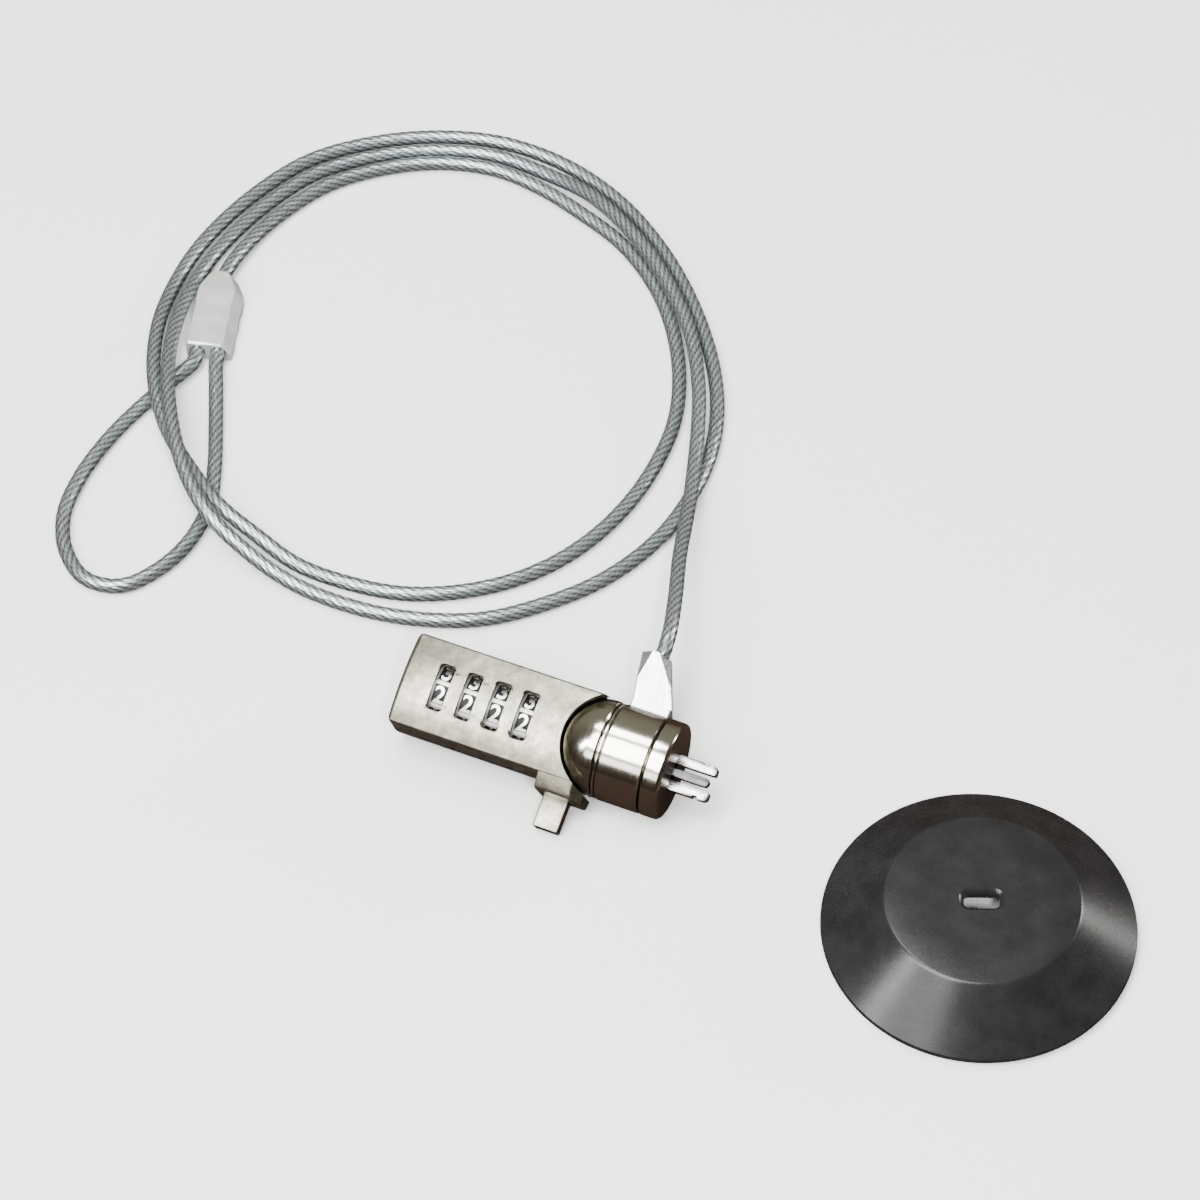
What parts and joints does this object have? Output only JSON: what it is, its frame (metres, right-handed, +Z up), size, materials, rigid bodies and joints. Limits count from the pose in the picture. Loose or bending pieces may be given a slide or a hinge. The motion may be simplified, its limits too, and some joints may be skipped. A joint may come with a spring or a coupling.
{
  "type": "laptop cable lock",
  "caption": "Laptop cable lock: combination dial lock with a swivelling, tilting head, coiled wire rope ending in a crimped loop, and a slotted stick-on anchor plate.",
  "frame": {"origin": "centre of the anchor plate's underside, on the table that everything lies on", "axes": "+Z up from the table; +X to the right and +Y away, as the lock is seen lying with its dials towards the viewer"},
  "size_m": [0.2188, 0.242, 0.0206],
  "materials": {
    "satin_nickel": "satin nickel plate on zinc die casting",
    "polished_nickel": "polished nickel plate",
    "bright_steel": "bright plated steel",
    "dark_steel": "dark hardened steel",
    "spring_steel": "drawn spring steel",
    "brass": "turned brass",
    "dial_metal": "black panels between bright metal ribs, with raised bright digits",
    "wire_rope": "stranded galvanised wire under a clear skin",
    "satin_black": "satin black coat",
    "white_foam": "white double-sided foam"
  },
  "bodies": {
    "cable": {"cable_eye": "bright_steel", "cable": "wire_rope", "cable_loop": "wire_rope", "crimp_sleeve": "bright_steel"},
    "head": {"ball_knuckle": "polished_nickel", "pivot_pin_far": "bright_steel", "pivot_pin_near": "bright_steel", "swivel_washer": "polished_nickel", "nose_sleeve": "polished_nickel"},
    "housing": {"housing_shell": "satin_nickel", "rear_cap": "satin_nickel", "yoke": "bright_steel", "detent_leaf": "spring_steel", "spindle_spring": "spring_steel"},
    "dial_1": {"dial_1": "dial_metal", "code_sleeve_1": "brass"},
    "dial_2": {"dial_2": "dial_metal", "code_sleeve_2": "brass"},
    "dial_3": {"dial_3": "dial_metal", "code_sleeve_3": "brass"},
    "dial_4": {"dial_4": "dial_metal", "code_sleeve_4": "brass"},
    "reset_stud": {"reset_stud": "brass"},
    "spindle": {"spindle": "bright_steel"},
    "push_tab": {"push_tab": "satin_nickel"},
    "lock_pin": {"lock_pin": "dark_steel"},
    "jaw_far": {"jaw_far": "bright_steel"},
    "jaw_near": {"jaw_near": "bright_steel"},
    "plate": {"anchor_plate": "satin_black", "adhesive_pad": "white_foam"}
  },
  "joints": [
    {"name": "head_swivel", "type": "hinge", "parent": "cable", "child": "head", "pos_m": [-0.0734, 0.0366, 0.01], "axis": [0.9242, -0.3819, 0], "continuous": true},
    {"name": "housing_tilt", "type": "hinge", "parent": "head", "child": "housing", "pos_m": [-0.0734, 0.0366, 0.01], "axis": [0.3461, 0.8376, 0.4226], "range_deg": [0, 30]},
    {"name": "dial_1_turn", "type": "hinge", "parent": "housing", "child": "dial_1", "pos_m": [-0.10427, 0.04936, 0.01], "axis": [0.9242, -0.3819, 0], "continuous": true},
    {"name": "dial_2_turn", "type": "hinge", "parent": "housing", "child": "dial_2", "pos_m": [-0.09872, 0.04706, 0.01], "axis": [0.9242, -0.3819, 0], "continuous": true},
    {"name": "dial_3_turn", "type": "hinge", "parent": "housing", "child": "dial_3", "pos_m": [-0.09318, 0.04477, 0.01], "axis": [0.9242, -0.3819, 0], "continuous": true},
    {"name": "dial_4_turn", "type": "hinge", "parent": "housing", "child": "dial_4", "pos_m": [-0.08763, 0.04248, 0.01], "axis": [0.9242, -0.3819, 0], "continuous": true},
    {"name": "reset_turn", "type": "hinge", "parent": "housing", "child": "reset_stud", "pos_m": [-0.10953, 0.05391, 0.00529], "axis": [0.9242, -0.3819, 0], "range_deg": [0, 90]},
    {"name": "tab_press", "type": "slide", "parent": "housing", "child": "push_tab", "axis": [0.3461, 0.8376, 0.4226], "range_m": [0, 0.002], "stiffness_N_per_m": 800, "springref_m": -0.002},
    {"name": "spindle_slide", "type": "slide", "parent": "housing", "child": "spindle", "axis": [-0.9242, 0.3819, 0], "range_m": [0, 0.002], "deforming": ["spindle_spring"]},
    {"name": "pin_slide", "type": "slide", "parent": "head", "child": "lock_pin", "axis": [-0.9242, 0.3819, 0], "range_m": [0, 0.002]},
    {"name": "jaw_far_close", "type": "slide", "parent": "head", "child": "jaw_far", "axis": [-0.3461, -0.8376, -0.4226], "range_m": [0, 0.0004]},
    {"name": "jaw_near_close", "type": "slide", "parent": "head", "child": "jaw_near", "axis": [0.3461, 0.8376, 0.4226], "range_m": [0, 0.0004]},
    {"name": "plate_lift", "type": "slide", "parent": "cable", "child": "plate", "axis": [0, 0, 1], "range_m": [0, 0.1]}
  ],
  "couplings": [
    {"joint": "spindle_slide", "follows": "tab_press", "ratio": 1},
    {"joint": "pin_slide", "follows": "tab_press", "ratio": 1},
    {"joint": "jaw_far_close", "follows": "tab_press", "ratio": 0.2},
    {"joint": "jaw_near_close", "follows": "tab_press", "ratio": 0.2}
  ]
}
